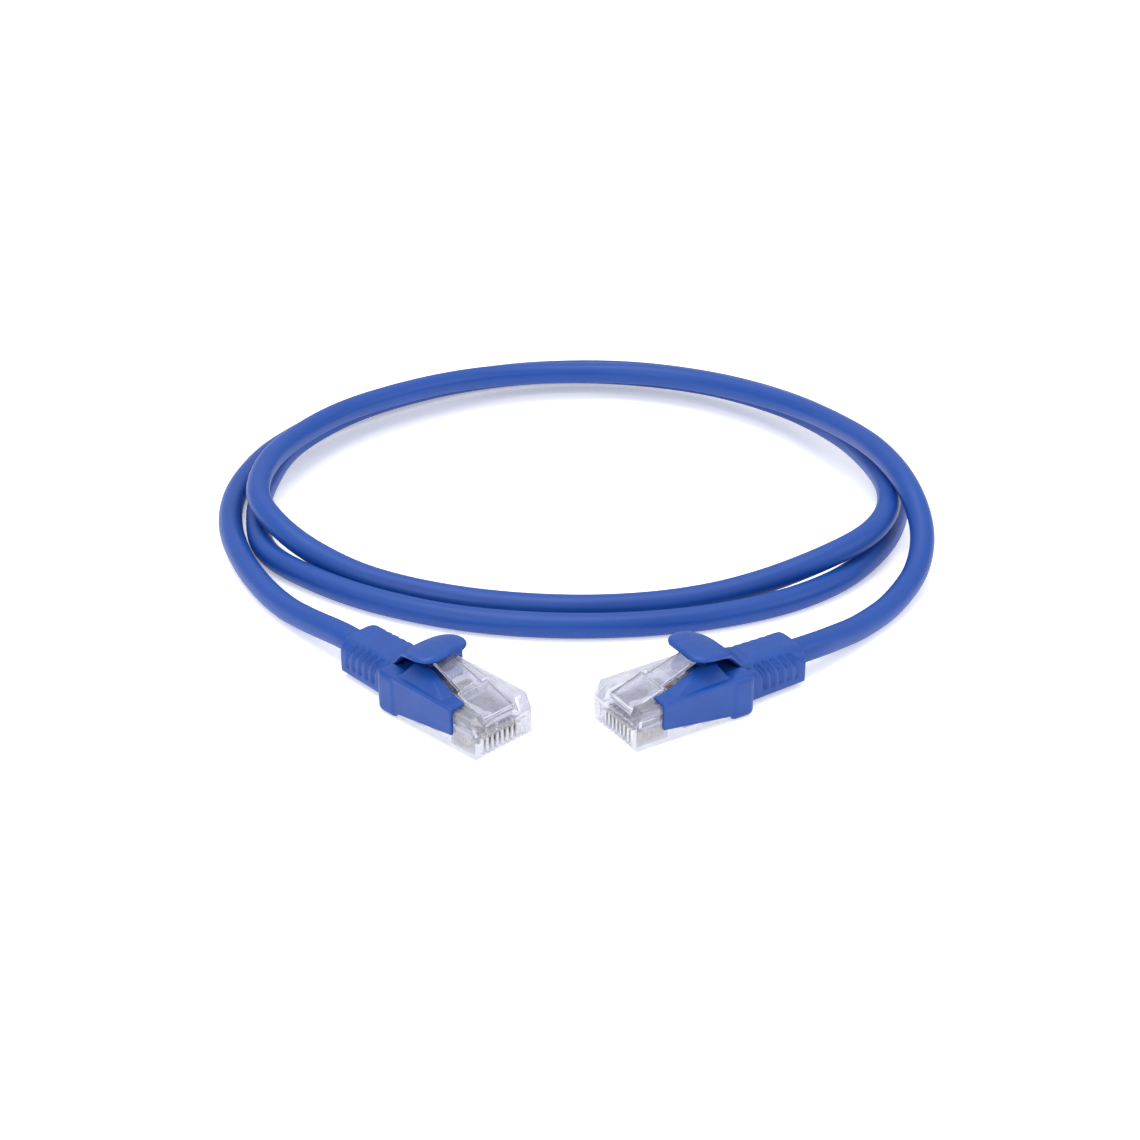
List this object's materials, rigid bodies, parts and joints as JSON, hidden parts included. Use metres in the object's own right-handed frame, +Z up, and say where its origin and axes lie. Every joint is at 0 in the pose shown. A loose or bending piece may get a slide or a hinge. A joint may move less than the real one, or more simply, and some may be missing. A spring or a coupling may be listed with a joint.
{
  "type": "ethernet patch cable",
  "caption": "Blue round network patch cable in a loose coil, with a clear modular plug, press-down latch and snagless boot at each end.",
  "frame": {"origin": "on the floor, at the middle of the box round the two plugs and their boots, the free cable left out", "axes": "+X from the left end towards the right end, +Y from the plugs towards the back of the coil, +Z up"},
  "size_m": [0.1255, 0.1444, 0.0126],
  "materials": {
    "clear_plug": "clear polycarbonate, gloss",
    "boot": "satin moulded PVC, blue",
    "jacket": "satin extruded PVC, blue",
    "contacts": "gold-plated blade",
    "wire_white_orange": "extruded conductor insulation",
    "wire_orange": "extruded conductor insulation",
    "wire_white_green": "extruded conductor insulation",
    "wire_blue": "extruded conductor insulation",
    "wire_white_blue": "extruded conductor insulation",
    "wire_green": "extruded conductor insulation",
    "wire_white_brown": "extruded conductor insulation",
    "wire_brown": "extruded conductor insulation"
  },
  "bodies": {
    "root": {"cable": "jacket", "left_plug_housing": "clear_plug", "left_wire_guide": "clear_plug", "left_cord_clamp": "clear_plug", "left_boot": "boot", "left_cable_end": "jacket", "left_contact_1": "contacts", "left_contact_2": "contacts", "left_contact_3": "contacts", "left_contact_4": "contacts", "left_contact_5": "contacts", "left_contact_6": "contacts", "left_contact_7": "contacts", "left_contact_8": "contacts", "left_wire_1": "wire_white_orange", "left_wire_2": "wire_orange", "left_wire_3": "wire_white_green", "left_wire_4": "wire_blue", "left_wire_5": "wire_white_blue", "left_wire_6": "wire_green", "left_wire_7": "wire_white_brown", "left_wire_8": "wire_brown", "right_plug_housing": "clear_plug", "right_wire_guide": "clear_plug", "right_cord_clamp": "clear_plug", "right_boot": "boot", "right_cable_end": "jacket", "right_contact_1": "contacts", "right_contact_2": "contacts", "right_contact_3": "contacts", "right_contact_4": "contacts", "right_contact_5": "contacts", "right_contact_6": "contacts", "right_contact_7": "contacts", "right_contact_8": "contacts", "right_wire_1": "wire_white_orange", "right_wire_2": "wire_orange", "right_wire_3": "wire_white_green", "right_wire_4": "wire_blue", "right_wire_5": "wire_white_blue", "right_wire_6": "wire_green", "right_wire_7": "wire_white_brown", "right_wire_8": "wire_brown"},
    "left_latch": {"left_latch": "clear_plug"},
    "left_tab": {"left_boot_tab": "boot"},
    "right_latch": {"right_latch": "clear_plug"},
    "right_tab": {"right_boot_tab": "boot"}
  },
  "joints": [
    {"name": "left_tab_press", "type": "hinge", "parent": "root", "child": "left_tab", "pos_m": [-0.02582, 0.00448, 0.007], "axis": [0.7108, 0.7034, 0], "range_deg": [0, 8], "stiffness_Nm_per_rad": 0.02},
    {"name": "left_latch_press", "type": "hinge", "parent": "root", "child": "left_latch", "pos_m": [-0.01161, -0.00988, 0.0054], "axis": [-0.7108, -0.7034, 0], "range_deg": [0, 4.4]},
    {"name": "right_tab_press", "type": "hinge", "parent": "root", "child": "right_tab", "pos_m": [0.025, 0.00354, 0.007], "axis": [0.5314, -0.8471, 0], "range_deg": [0, 8], "stiffness_Nm_per_rad": 0.02},
    {"name": "right_latch_press", "type": "hinge", "parent": "root", "child": "right_latch", "pos_m": [0.00788, -0.0072, 0.0054], "axis": [-0.5314, 0.8471, 0], "range_deg": [0, 4.4]}
  ],
  "couplings": [
    {"joint": "left_latch_press", "follows": "left_tab_press", "ratio": 0.55},
    {"joint": "right_latch_press", "follows": "right_tab_press", "ratio": 0.55}
  ]
}
